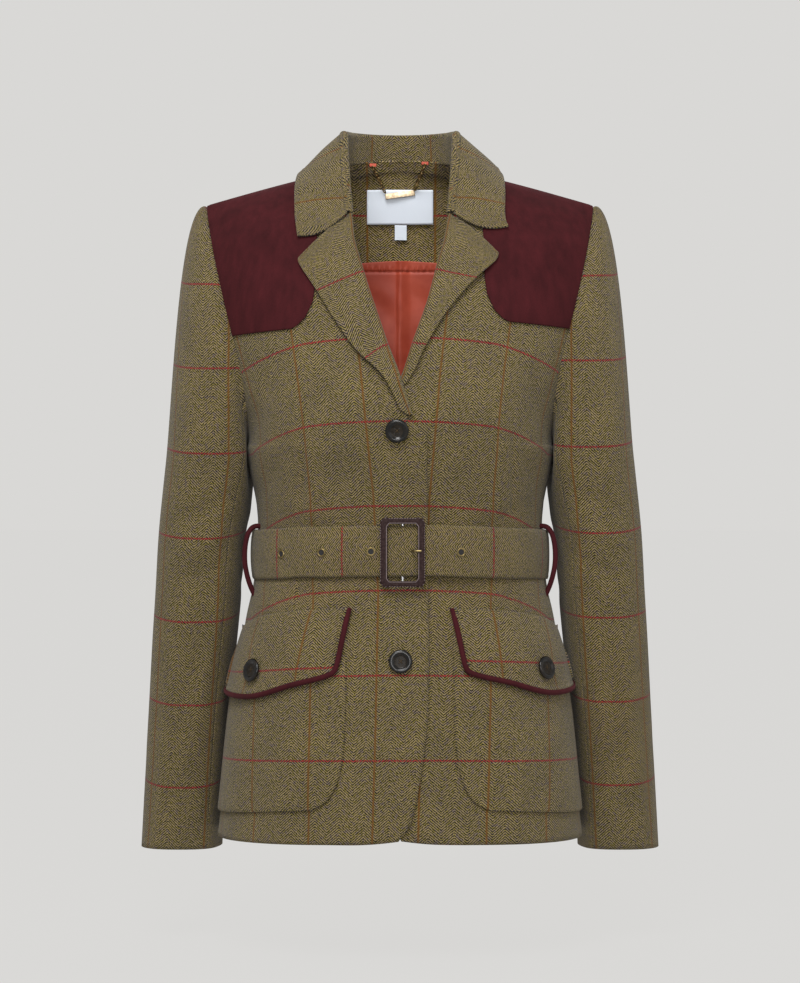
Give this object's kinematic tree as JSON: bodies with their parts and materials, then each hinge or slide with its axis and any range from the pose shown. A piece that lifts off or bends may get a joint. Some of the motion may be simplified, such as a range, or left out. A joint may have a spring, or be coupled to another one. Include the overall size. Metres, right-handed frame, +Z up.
{
  "type": "shooting jacket",
  "caption": "Hollow fitted tweed shooting jacket as worn, with notched collar, suede shoulder patches, flap pockets and a buckled waist belt.",
  "frame": {"origin": "midway between the two shoulder neck points, where the wearer's shoulders carry the jacket", "axes": "+Z up, -Y out of the front, +X towards the wearer's left"},
  "size_m": [0.5148, 0.2639, 0.7105],
  "materials": {
    "tweed": "herringbone wool tweed with a windowpane check",
    "suede": "burgundy suede with a soft nap",
    "satin": "coral satin lining",
    "label_tape": "bare woven satin tape",
    "horn": "polished dark horn look",
    "buckle_leather": "dark brown stitched leather",
    "steel": "bright steel",
    "brass": "satin brass"
  },
  "bodies": {
    "root": {"front_left": "tweed", "front_right": "tweed", "back": "tweed", "collar": "tweed", "lapel_left": "tweed", "lapel_right": "tweed", "belt": "tweed", "neck_facing": "tweed", "top_sleeve_left": "tweed", "top_sleeve_right": "tweed", "under_sleeve_left": "tweed", "under_sleeve_right": "tweed", "pocket_left": "tweed", "pocket_right": "tweed", "pocket_flap_left": "tweed", "pocket_flap_right": "tweed", "shoulder_patch_left": "suede", "shoulder_patch_right": "suede", "flap_piping_left": "suede", "flap_piping_right": "suede", "belt_loop_left": "suede", "belt_loop_right": "suede", "back_lining": "satin", "hanger_tab_left": "satin", "hanger_tab_right": "satin", "label": "label_tape", "size_tab": "label_tape", "flap_button_left": "horn", "flap_button_right": "horn", "chest_button": "horn", "skirt_button": "horn", "buckle_frame": "buckle_leather", "buckle_bar": "steel", "buckle_prong": "brass", "eyelet_1": "brass", "eyelet_2": "brass", "eyelet_3": "brass", "eyelet_4": "brass", "hanger_chain_left": "brass", "hanger_chain_right": "brass", "hanger_bar": "brass"}
  },
  "joints": []
}
